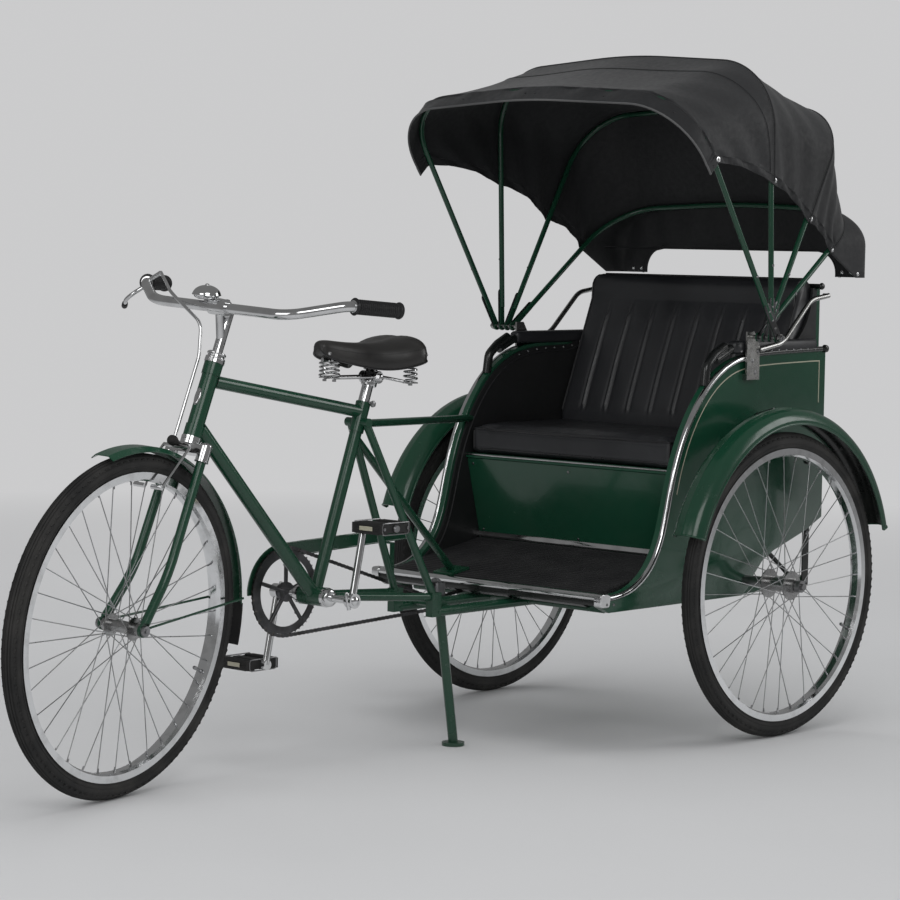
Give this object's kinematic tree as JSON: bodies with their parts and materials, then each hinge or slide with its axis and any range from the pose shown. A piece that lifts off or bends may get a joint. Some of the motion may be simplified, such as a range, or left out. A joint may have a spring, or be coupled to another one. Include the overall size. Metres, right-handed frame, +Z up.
{
  "type": "cycle rickshaw",
  "caption": "Pedal-driven passenger tricycle: bicycle front half with a rider's saddle, joined to a cushioned two-seat carriage under a folding hood.",
  "frame": {"origin": "on the ground under the middle of the machine's box", "axes": "+X forward, towards the front wheel; +Y to the rider's left; +Z up"},
  "size_m": [2.3968, 1.048, 1.596],
  "materials": {
    "green_paint": "dark green gloss enamel with fine lines",
    "green_panel": "dark green gloss panel with a light line inside its edge",
    "chrome": "bright plated",
    "steel": "plain zinc-grey steel",
    "chain_steel": "oiled steel",
    "tyre": "ribbed black tyre",
    "rubber": "black rubber",
    "mat": "ribbed black rubber mat",
    "black_leather": "black upholstery with sewn channels and piping",
    "lining": "smooth black lining",
    "canvas": "charcoal canvas with stitched seams",
    "grip_plastic": "black grips",
    "wood": "painted board"
  },
  "bodies": {
    "chassis": {"arm_rails": "chrome", "backrest": "black_leather", "bottom_bracket_shell": "green_paint", "carriage_braces": "green_paint", "carriage_frame": "green_paint", "centre_rails": "green_paint", "chain": "chain_steel", "chain_guard": "green_paint", "chain_idler": "steel", "chrome_trim": "chrome", "down_tube": "green_paint", "fenders": "green_paint", "floor_board": "wood", "floor_mat": "mat", "head_tube": "green_paint", "headset_cups": "chrome", "hood_brackets": "chrome", "rear_axle": "steel", "rear_stays": "green_paint", "saddle": "black_leather", "saddle_frame": "steel", "seat_box": "wood", "seat_cushion": "black_leather", "seat_post": "chrome", "seat_tube": "green_paint", "side_linings": "lining", "side_panels": "green_panel", "top_tube": "green_paint"},
    "steering": {"fork_crown": "chrome", "fork_blades": "green_paint", "front_axle": "steel", "handlebar": "chrome", "stem": "chrome", "grips": "grip_plastic", "bell": "chrome", "front_mudguard": "green_paint", "mudguard_flap": "rubber", "front_brake": "chrome"},
    "front_wheel": {"front_tyre": "tyre", "front_wheel": "chrome"},
    "rear_wheel_left": {"rear_tyre_left": "tyre", "rear_wheel_left": "chrome"},
    "rear_wheel_right": {"rear_tyre_right": "tyre", "rear_wheel_right": "chrome"},
    "crank": {"chainring": "chrome", "cranks": "chrome"},
    "pedal_left": {"pedal_left": "rubber"},
    "pedal_right": {"pedal_right": "rubber"},
    "stand": {"stand_leg": "green_paint"},
    "hood_rear": {"hood_bow_rear": "green_paint", "rear_curtain": "canvas"},
    "hood_shoulder": {"hood_bow_shoulder": "green_paint", "canopy_shoulder": "canvas"},
    "hood_top": {"hood_bow_top": "green_paint", "canopy_top": "canvas"},
    "hood_front": {"hood_bow_front": "green_paint", "canopy_front": "canvas"}
  },
  "joints": [
    {"name": "steering_turn", "type": "hinge", "parent": "chassis", "child": "steering", "pos_m": [0.65403, 0, 0.736], "axis": [-0.3665, 0, 0.9304], "range_deg": [-56, 34]},
    {"name": "front_wheel_spin", "type": "hinge", "parent": "steering", "child": "front_wheel", "pos_m": [0.84551, 0.00763, 0.35704], "axis": [-0.1775, 0.9816, -0.0699], "continuous": true},
    {"name": "rear_wheel_left_spin", "type": "hinge", "parent": "chassis", "child": "rear_wheel_left", "pos_m": [-0.78381, 0.454, 0.3575], "axis": [0, 1, 0], "continuous": true},
    {"name": "rear_wheel_right_spin", "type": "hinge", "parent": "chassis", "child": "rear_wheel_right", "pos_m": [-0.78381, -0.454, 0.3575], "axis": [0, 1, 0], "continuous": true},
    {"name": "crank_spin", "type": "hinge", "parent": "chassis", "child": "crank", "pos_m": [0.29419, 0, 0.375], "axis": [0, 1, 0], "continuous": true},
    {"name": "pedal_left_spin", "type": "hinge", "parent": "crank", "child": "pedal_left", "pos_m": [0.25989, 0.168, 0.53639], "axis": [0, 1, 0], "continuous": true},
    {"name": "pedal_right_spin", "type": "hinge", "parent": "crank", "child": "pedal_right", "pos_m": [0.3285, -0.168, 0.21361], "axis": [0, 1, 0], "continuous": true},
    {"name": "stand_swing", "type": "hinge", "parent": "chassis", "child": "stand", "pos_m": [-0.07181, 0.03, 0.326], "axis": [0, 1, 0], "range_deg": [0, 65]},
    {"name": "hood_rear_fold", "type": "hinge", "parent": "chassis", "child": "hood_rear", "pos_m": [-0.76881, 0, 0.934], "axis": [0, -1, 0], "range_deg": [0, 42], "deforming": ["rear_curtain"]},
    {"name": "hood_shoulder_fold", "type": "hinge", "parent": "hood_rear", "child": "hood_shoulder", "pos_m": [-0.76881, 0, 0.934], "axis": [0, -1, 0], "range_deg": [0, 20.01], "deforming": ["canopy_shoulder"]},
    {"name": "hood_top_fold", "type": "hinge", "parent": "hood_shoulder", "child": "hood_top", "pos_m": [-0.76881, 0, 0.934], "axis": [0, -1, 0], "range_deg": [0, 27.01], "deforming": ["canopy_top"]},
    {"name": "hood_front_fold", "type": "hinge", "parent": "hood_top", "child": "hood_front", "pos_m": [-0.76881, 0, 0.934], "axis": [0, -1, 0], "range_deg": [0, 26.01], "deforming": ["canopy_front"]}
  ],
  "couplings": [
    {"joint": "hood_shoulder_fold", "follows": "hood_rear_fold", "ratio": 0.47619},
    {"joint": "hood_top_fold", "follows": "hood_rear_fold", "ratio": 0.64286},
    {"joint": "hood_front_fold", "follows": "hood_rear_fold", "ratio": 0.61905}
  ]
}
